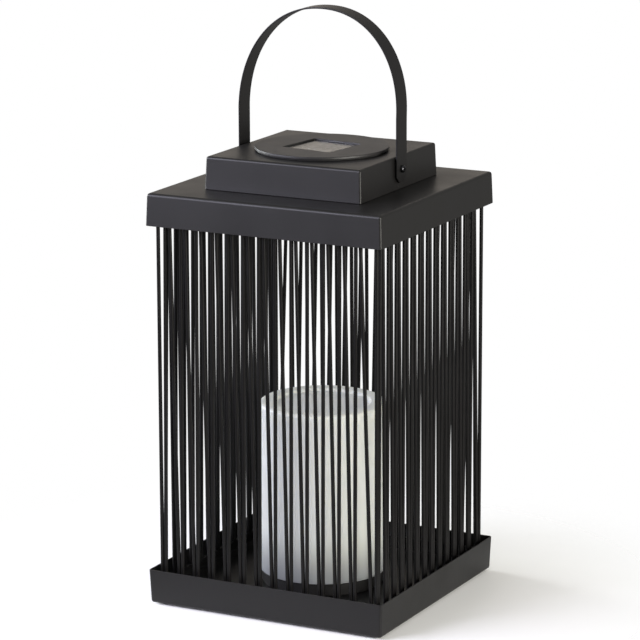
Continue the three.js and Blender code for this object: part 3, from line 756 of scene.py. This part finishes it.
# %% Geometry Nodes: fasteners on points
def fastener_tree():
    tree = bpy.data.node_groups.new("fasteners", "GeometryNodeTree")
    for name, kind, default in (
            ("Geometry", "NodeSocketGeometry", None), ("Fastener", "NodeSocketObject", None),
            ("Seed", "NodeSocketInt", 3), ("Material", "NodeSocketMaterial", None)):
        group_input(tree, name, kind, default)
    group_input(tree, "Geometry", "NodeSocketGeometry", in_out="OUTPUT")
    start = add(tree, "NodeGroupInput").outputs
    points = add(tree, "GeometryNodeMeshToPoints", {"Mesh": start["Geometry"]})
    facing = add(tree, "GeometryNodeInputNamedAttribute", {"Name": "facing"}, data_type="FLOAT_VECTOR")
    toward = add(tree, "FunctionNodeAlignRotationToVector", {"Vector": facing.outputs[0]}, axis="Z")
    angle = add(tree, "FunctionNodeRandomValue",
                {"Min": (0, 0, 0), "Max": (0, 0, 6.283), "Seed": start["Seed"]},
                data_type="FLOAT_VECTOR")
    turn = add(tree, "FunctionNodeEulerToRotation", {0: angle.outputs[0]})
    spun = add(tree, "FunctionNodeRotateRotation",
               {"Rotation": toward.outputs[0], "Rotate By": turn.outputs[0]},
               rotation_space="LOCAL")
    source = add(tree, "GeometryNodeObjectInfo", {"Object": start["Fastener"]})
    set_out = add(tree, "GeometryNodeInstanceOnPoints", {
        "Points": points.outputs[0], "Instance": source.outputs["Geometry"], "Rotation": spun.outputs[0]})
    real = add(tree, "GeometryNodeRealizeInstances", {"Geometry": set_out.outputs[0]})
    painted = add(tree, "GeometryNodeSetMaterial",
                  {"Geometry": real.outputs[0], "Material": start["Material"]})
    add(tree, "NodeGroupOutput", {"Geometry": painted.outputs[0]})
    return tree


def source_object(name, bm):
    """A mesh object to be copied by the tree, with smooth shading and outward normals."""
    bmesh.ops.remove_doubles(bm, verts=bm.verts, dist=1e-7)
    bmesh.ops.recalc_face_normals(bm, faces=bm.faces)
    mesh = bpy.data.meshes.new(name)
    bm.to_mesh(mesh)
    bm.free()
    mesh.shade_smooth()
    mesh.set_sharp_from_angle(angle=math.radians(35))
    made = bpy.data.objects.new(name, mesh)
    bpy.context.scene.collection.objects.link(made)
    return made


def pan_head(radius, height, shank, length):
    """A cross-recess pan head, its bearing face at z 0 and its shank below."""
    bm = bmesh.new()
    dome = [(radius, 0.25), (radius, height * 0.42), (radius * 0.93, height * 0.68),
            (radius * 0.76, height * 0.88),
            (radius * 0.5, height)]
    lathe(bm, [(shank, -length), (shank, 0), (radius - 0.2, 0)] + dome, segments=32)
    cutter = bmesh.new()
    for quarter in range(2):
        turn = Matrix.Rotation(math.radians(90 * quarter), 4, "Z")
        block(cutter, (radius * 1.25, radius * 0.3, height * 1.1), (0, 0, height), 0.08, turn)
    head, cross = source_object("pan_head", bm), source_object("cross", cutter)
    recess = head.modifiers.new("recess", "BOOLEAN")
    recess.operation, recess.solver, recess.object, recess.use_self = "DIFFERENCE", "EXACT", cross, True
    ready = head.evaluated_get(bpy.context.evaluated_depsgraph_get())
    mesh = bpy.data.meshes.new_from_object(ready)
    head.modifiers.remove(recess)
    head.data = mesh
    bpy.data.objects.remove(cross)
    return head


def hexagon_nut(flats, bore, height):
    """A nut standing on z 0, with its corners eased and its thread as two grooves."""
    bm = bmesh.new()
    outer = flats / 2 / math.cos(math.radians(30))
    inner = bore / 2
    eased = outer - 0.35
    lathe(bm, [(inner, 0.2), (inner + 0.2, 0), (eased, 0), (outer, 0.35), (outer, height - 0.35),
               (eased, height),
               (inner + 0.2, height), (inner, height - 0.2)], segments=6, closed=True)
    return source_object("hexagon_nut", bm)


fasteners = fastener_tree()
small_head = pan_head(2.9, 2.1, 1.5, 6)
nut = hexagon_nut(5.5, 3.6, 2.4)
print("pan head:", len(small_head.data.polygons), "faces, nut:", len(nut.data.polygons), "faces")

# %% [markdown]
# The places come from the CAD nodes' own boxes: a screw sits where its box has its head, and a
# nut where its box begins.

# %% Set out the fasteners


def set_out(name, source, nodes_facing, material, body, slot, seed):
    """One mesh with a fastener for each node. Its point is the middle of the bearing face, in mm."""
    points = [point for _, point, _ in nodes_facing]
    directions = [direction for _, _, direction in nodes_facing]
    made = bake_nodes(name, points, [], fasteners, {"Fastener": source, "Seed": seed, "Material": material},
                      {"facing": directions})
    return dress(made, material, body, [node for node, _, _ in nodes_facing], smooth=35)


def middle_of(node):
    low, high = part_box(node)
    return (low + high) / 2 / MM


def bearing(node, direction, head_height):
    """The point under a screw's head, for a head that faces along direction."""
    low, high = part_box(node)
    reach = Vector([high[i] if direction[i] > 0 else low[i] for i in range(3)]) / MM
    centre = middle_of(node)
    face = [reach[i] if direction[i] else centre[i] for i in range(3)]
    return Vector(face) - Vector(direction) * head_height


def nut_foot(node, direction):
    """The point where a nut's lower face sits, for a nut that stands along direction."""
    low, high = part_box(node)
    centre = middle_of(node)
    start = Vector([low[i] if direction[i] > 0 else high[i] for i in range(3)]) / MM
    return Vector([start[i] if direction[i] else centre[i] for i in range(3)])


UP, DOWN, LEFT, RIGHT = (0, 0, 1), (0, 0, -1), (-1, 0, 0), (1, 0, 0)
black_screws = [("pivot_screw_left", LEFT), ("pivot_screw_right", RIGHT)]
black_screws += [(f"housing_screw_{i}", DOWN) for i in range(1, 5)]
set_out("black_pan_screws", small_head, [(n, bearing(n, d, 2.1), d) for n, d in black_screws],
        blacked, "root", "black_screw", seed=3)
set_out("candle_screws", small_head,
        [(f"candle_screw_{i}", bearing(f"candle_screw_{i}", DOWN, 2.1), DOWN) for i in (1, 2)],
        zinc, "root", "zinc", seed=5)
nuts = [(f"base_nut_{i}", UP) for i in range(1, 5)] + [(f"lid_nut_{i}", UP) for i in range(1, 5)]
nuts += [("pivot_nut_left", RIGHT), ("pivot_nut_right", LEFT)]
set_out("hexagon_nuts", nut, [(n, nut_foot(n, d), d) for n, d in nuts], zinc, "root", "zinc", seed=9)
door_head = pan_head(2.5, 1.4, 1.5, 1.2)
set_out("battery_door_screw", door_head, [("door_screw", bearing("door_screw", DOWN, 1.4), DOWN)],
        zinc, "solar_unit", "zinc", seed=2)
for source in (small_head, door_head, nut):
    bpy.data.objects.remove(source)
print("fasteners set out:", len(black_screws) + 2 + len(nuts) + 1)

# %% [markdown]
# Threaded studs stand up from the tray's floor and hang from the cap, one through each tab.

# %% Studs
STUD_PLACE, STUD_LENGTH = 86.5, 6.5
studs = bmesh.new()
for x, y in ((1, -1), (1, 1), (-1, 1), (-1, -1)):
    for z, way in ((floor_top, 1), (cap_top - SHEET, -1)):
        place = (Matrix.Translation(Vector((x * STUD_PLACE, y * STUD_PLACE, z)) * MM)
                 @ Matrix.Diagonal((1, 1, way, 1)))
        turns = [(1.5 - 0.18 * (i % 2), -0.4 + 0.25 * i) for i in range(27)]
        lathe(studs, turns + [(1.1, STUD_LENGTH)], segments=16, matrix=place)
weld_studs = finish_object("weld_studs", studs, zinc, "root", smooth=50)
print("studs:", len(weld_studs.data.polygons), "faces")

# %% [markdown]
# ## The handle
# The handle is one strap of 17 x 1.2 mm steel, sheared with chamfered ends, punched for the
# screws and bent into an arch. It is laid out flat first, as a strip of quads with a clean ring
# around each hole, then wrapped along the arch's line, given its thickness and eased edges.

# %% Strap handle
STRAP_WIDTH, STRAP_THICK, STRAP_LEG = 17, 1.2, 68.2
SHOULDER, CROWN, ARCH_POWER, LEAN = base + 383.3, base + 463.9, 2.12, 3.5
PIVOT = (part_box("pivot_screw_left")[0].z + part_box("pivot_screw_left")[1].z) / 2 / MM
END_BELOW, CHAMFER, BORE = 10.4, 4.5, 3.6


def arch_line(steps):
    """The strap's middle line from the left pivot over the crown to the right pivot, in mm."""
    points = []
    for i in range(steps + 1):
        angle = math.pi * (1 - i / steps)
        power = 2 / ARCH_POWER
        x = STRAP_LEG * math.copysign(abs(math.cos(angle)) ** power, math.cos(angle))
        z = SHOULDER + (CROWN - SHOULDER) * abs(math.sin(angle)) ** power
        points.append(Vector((x + LEAN * (z - SHOULDER) / (CROWN - SHOULDER), 0, z)))
    leg = [Vector((-STRAP_LEG, 0, PIVOT + 10 + (SHOULDER - PIVOT - 10) * i / 6)) for i in range(6)]
    return leg + points + [Vector((-p.x, 0, p.z)) for p in reversed(leg)]


def evenly(points, count):
    """The same line with its points at equal steps along it."""
    lengths = [0.0]
    for a, b in zip(points, points[1:]):
        lengths.append(lengths[-1] + (b - a).length)
    spread, at = [], 0
    for i in range(count + 1):
        wanted = lengths[-1] * i / count
        while at < len(lengths) - 2 and lengths[at + 1] < wanted:
            at += 1
        share = (wanted - lengths[at]) / (lengths[at + 1] - lengths[at])
        spread.append(points[at].lerp(points[at + 1], share))
    return spread


def strap_end(bm, side, row):
    """The flat end around a hole: an outline and a circle with the same number of points."""
    half, end, flat = STRAP_WIDTH / 2, END_BELOW, STRAP_WIDTH / 2 - CHAMFER
    outline = [(-half, 0), (-half, CHAMFER - end), (-flat, -end), (0, -end), (flat, -end),
               (half, CHAMFER - end), (half, 0)]
    outer = list(row) + [bm.verts.new(Vector((side * STRAP_LEG, y, PIVOT + z)) * MM) for y,
                         z in reversed(outline)]
    hole = []
    for vert in outer:
        offset = Vector((0, vert.co.y, vert.co.z - PIVOT * MM)).normalized() * BORE / 2 * MM
        hole.append(bm.verts.new(Vector((side * STRAP_LEG * MM, 0, PIVOT * MM)) + offset))
    for i in range(len(outer)):
        j = (i + 1) % len(outer)
        bm.faces.new((outer[i], outer[j], hole[j], hole[i]))


strip = bmesh.new()
across = [STRAP_WIDTH * (i / 4 - 0.5) for i in range(5)]
rows = [[strip.verts.new((p + Vector((0, y, 0))) * MM) for y in across] for p in evenly(arch_line(200), 110)]
for low, high in zip(rows, rows[1:]):
    for i in range(4):
        strip.faces.new((low[i], low[i + 1], high[i + 1], high[i]))
strap_end(strip, -1, rows[0])
strap_end(strip, 1, rows[-1])
bmesh.ops.remove_doubles(strip, verts=strip.verts, dist=1e-7)
bmesh.ops.recalc_face_normals(strip, faces=strip.faces)
strap_mesh = bpy.data.meshes.new("handle_strap_steel")
strip.to_mesh(strap_mesh)
strip.free()
strap = bpy.data.objects.new("handle_strap_steel", strap_mesh)
bpy.context.scene.collection.objects.link(strap)


thicken = strap.modifiers.new("thickness", "SOLIDIFY")
thicken.thickness, thicken.offset, thicken.use_even_offset = STRAP_THICK * MM, 0, True
ease = strap.modifiers.new("eased_edges", "BEVEL")
ease.width, ease.segments, ease.limit_method, ease.angle_limit = 0.25 * MM, 2, "ANGLE", math.radians(50)
bake_modifiers(strap)
dress(strap, strap_coat, "handle", ["handle_strap"], smooth=35)
print("strap:", len(strap.data.polygons), "faces, pivot at", round(PIVOT, 1), "mm")

# %% [markdown]
# ## The candle
# The pillar is a thin moulding with a rolled lip and a shallow dished top, standing on a black
# foot. A real one is never quite round: its wall wanders by a tenth or two of a millimetre,
# which a sum of a few slow waves around it gives.

# %% Candle shell and foot
shell_low, shell_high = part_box("candle_shell")
CANDLE_RADIUS = 49.85
candle_top, candle_low = shell_high.z / MM, shell_low.z / MM
LIP, WALL, DISH, DISH_DEPTH = 3.0, 2.5, 37.5, 2.2
floor_of_dish = candle_top - DISH_DEPTH
straight = candle_top - LIP - candle_low - 0.4
profile = [(0.5, floor_of_dish - WALL), (CANDLE_RADIUS - WALL - 3, floor_of_dish - WALL),
           (CANDLE_RADIUS - WALL, floor_of_dish - WALL - 3), (CANDLE_RADIUS - WALL, candle_low + 0.4),
           (CANDLE_RADIUS - WALL + 0.4, candle_low), (CANDLE_RADIUS - 0.4, candle_low)]
profile += [(CANDLE_RADIUS, candle_low + 0.4 + straight * i / 24) for i in range(24)]
profile += arc((CANDLE_RADIUS - LIP, candle_top - LIP), LIP, 0, 90, 6)
profile += arc((DISH + 1.6, candle_top - 1.6), 1.6, 90, 140, 4)
profile += arc((DISH - 2.4, floor_of_dish + 1.8), 1.8, -35, -90, 4)
profile += [(24, floor_of_dish), (0.5, floor_of_dish)]
candle = bmesh.new()
lathe(candle, profile, segments=128)
for vert in candle.verts:
    angle = math.atan2(vert.co.y, vert.co.x)
    reach = math.hypot(vert.co.x, vert.co.y)
    wave = 0.09 * math.sin(2 * angle + 0.6) + 0.05 * math.sin(3 * angle + vert.co.z * 18)
    grow = 1 + wave * MM / max(reach, 0.02) * min(reach / 0.045, 1)
    vert.co.x *= grow
    vert.co.y *= grow
finish_object("candle_pillar", candle, candle_wax, "root", ["candle_shell"], smooth=50)

foot_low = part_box("candle_base")[0]
foot = foot_low.z / MM
cup = bmesh.new()
lathe(cup, [(0.5, foot + 2.5), (44.3, foot + 2.5), (44.3, foot + 16), (46.7, foot + 16), (46.7, foot + 9.7),
            (47.9, foot + 9.7), (48.5, foot + 9.1), (48.5, foot + 1.0), (47.9, foot + 0.4), (47.9, foot),
            (0.5, foot)], segments=96)
finish_object("candle_foot", cup, black_abs, "root", ["candle_base"], smooth=35)
print("candle:", round(candle_top - candle_low, 1), "mm tall on a foot at", round(foot, 1), "mm")

# %% [markdown]
# ## The solar unit
# Seen from above it is a black disc with a stepped rim, which sits on its seal, and a square
# window. The disc is one stack of rings that starts at the rim, crosses the flat top and drops
# down the window's square sides, so the round outline and the square hole share their quads.

# %% Disc, seal and window
bezel_low, bezel_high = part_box("solar_bezel")
disc_foot, disc_top = bezel_low.z / MM, bezel_high.z / MM
DISC, WINDOW = 52.3, 44
spin = Matrix.Rotation(UNIT_TWIST, 4, "Z")
window_ring = square_ring(WINDOW, 0.8, disc_top, edge_steps=8, corner_steps=4)


def rim_ring(radius, z):
    return round_ring(radius, z, window_ring)


def window_at(side, corner, z):
    return square_ring(side, corner, z, edge_steps=8, corner_steps=4)


disc_rings = [rim_ring(DISC - 1.4, disc_foot), rim_ring(DISC - 0.6, disc_foot + 0.1),
              rim_ring(DISC - 0.5, disc_foot + 0.55), rim_ring(DISC, disc_foot + 0.7)]
disc_rings += [rim_ring(r, z) for r, z in arc((DISC - 0.6, disc_top - 0.6), 0.6, 0, 90, 5)]
disc_rings += [rim_ring(DISC - 3, disc_top), rim_ring(36, disc_top)]
disc_rings += [window_at(WINDOW + 0.6, 1.1, disc_top), window_at(WINDOW + 0.1, 0.85, disc_top - 0.12),
               window_at(WINDOW, 0.8, disc_top - 0.4), window_at(WINDOW, 0.8, disc_foot)]
unit_disc = bmesh.new()
stack(unit_disc, disc_rings, closed=True, matrix=spin)
finish_object("solar_disc", unit_disc, black_abs, "solar_unit", ["solar_bezel"], smooth=32)

seal_low, seal_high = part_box("solar_seal")
seal = bmesh.new()
lathe(seal, arc((51.1 - 0.3, (seal_low.z + seal_high.z) / 2 / MM), 0.3, -90, 90, 6)
      + [(46.6, seal_high.z / MM), (46.6, seal_low.z / MM)], segments=96, closed=True)
finish_object("seal_ring", seal, rubber, "seal", ["solar_seal"], smooth=60)

cover_low, cover_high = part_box("cell_cover")
plate = bmesh.new()
block(plate, (43.4, 43.4, 1.0), (0, 0, (cover_low.z + cover_high.z) / 2 / MM), 0.15, spin)
finish_object("clear_cover", plate, acrylic, "solar_unit", ["cell_cover"], smooth=50)
print("disc top at", round(disc_top, 1), "mm, cover", round(disc_top - cover_high.z / MM, 1), "mm below it")

# %% [markdown]
# A small raised arrow near the rim shows which way to turn the unit.

# %% Turn mark
mark = bmesh.new()
arrow = [(-1.6, 0.0), (1.6, 0.0), (0.0, -2.6)]
place = (spin @ Matrix.Rotation(math.radians(-16), 4, "Z")
         @ Matrix.Translation(Vector((0, -44.6, disc_top)) * MM))
low = [mark.verts.new(place @ (Vector((x, y, -0.3)) * MM)) for x, y in arrow]
high = [mark.verts.new(place @ (Vector((x * 0.9, y * 0.9 - 0.1, 0.0)) * MM)) for x, y in arrow]
mark.faces.new(low[::-1])
mark.faces.new(high)
for i in range(3):
    mark.faces.new((low[i], low[(i + 1) % 3], high[(i + 1) % 3], high[i]))
finish_object("turn_mark", mark, black_abs, "solar_unit", smooth=20)
print("turn mark made")

# %% [markdown]
# ## The power lead
# A thin round lead runs from the socket under the cap to the rear left corner, down beside the
# post and across the tray into the candle's foot. It is held all the way, so it follows the
# CAD route, smoothed.

# %% Lead
LEAD_CORNER = 122.6
TO_CORNER = Vector((-math.sqrt(0.5), math.sqrt(0.5), 0))
under_cap = cap_top - SHEET - 4.2
entry = foot + 5.2
lead_route = [(5.8, under_cap), (20, under_cap), (45, under_cap), (70, under_cap), (95, under_cap),
              (112, under_cap - 1.5), (119.5, under_cap - 8), (122.2, under_cap - 19)]
lead_route += [(LEAD_CORNER, base + z) for z in (280, 240, 200, 160, 120, 80, 45, 34)]
lead_route += [(121.2, base + 23), (115.5, base + 14.5), (107, base + 11.4)]
lead_route += [(r, entry) for r in (98, 84, 68, 48, 40)]
curve = bpy.data.curves.new("power_lead_cable", "CURVE")
curve.dimensions = "3D"
spline = curve.splines.new("POLY")
knots = [TO_CORNER * r + Vector((0, 0, z)) for r, z in lead_route]


def smooth_line(points, steps):
    """A Catmull-Rom line through the points."""
    line = []
    ends = [points[0] * 2 - points[1]] + points + [points[-1] * 2 - points[-2]]
    for a, b, c, d in zip(ends, ends[1:], ends[2:], ends[3:]):
        for i in range(steps):
            t = i / steps
            line.append(0.5 * ((2 * b) + (c - a) * t + (2 * a - 5 * b + 4 * c - d) * t * t
                               + (3 * b - a - 3 * c + d) * t ** 3))
    return line + [points[-1]]


line = smooth_line(knots, 6)
spline.points.add(len(line) - 1)
for point, spot in zip(spline.points, line):
    point.co = (*(spot * MM), 1)
curve.bevel_depth = 1.2 * MM
curve.bevel_resolution = 4
curve.use_fill_caps = True
lead_curve = bpy.data.objects.new("power_lead_cable", curve)
bpy.context.scene.collection.objects.link(lead_curve)
lead_mesh = bpy.data.meshes.new_from_object(lead_curve.evaluated_get(bpy.context.evaluated_depsgraph_get()))
bpy.data.objects.remove(lead_curve)
lead = bpy.data.objects.new("power_lead_cable", lead_mesh)
bpy.context.scene.collection.objects.link(lead)
dress(lead, pvc_sheath, "root", ["power_lead"], smooth=60)
print("lead:", round(sum((b - a).length for a, b in zip(line, line[1:]))), "mm long")

# %% [markdown]
# ## The rest of the CAD parts
# Parts whose CAD shape is already right keep it, and only get their real finish.

# %% Finishes for the parts that stay
finishes = {
    rubber: ["base_foot_1", "base_foot_2", "base_foot_3", "base_foot_4"],
    black_abs: ["unit_case", "battery_door", "switch_body", "power_socket",
                "lead_clip_1", "lead_clip_2", "lead_clip_3"],
    zinc: ["pivot_washer_left", "pivot_washer_right", "battery_spring", "battery_contact", "power_plug"],
    solder_mask: ["candle_board", "circuit_board"],
    lens_resin: ["candle_led"],
    sleeve: ["battery"],
    white_abs: ["switch_slider"],
    cell_face: ["solar_cell"],
}
for material, names in finishes.items():
    for name in names:
        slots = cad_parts[name].material_slots
        if not slots:
            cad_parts[name].data.materials.append(material)
        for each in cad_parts[name].material_slots:
            each.material = material
print("CAD parts refinished:", sum(len(names) for names in finishes.values()))
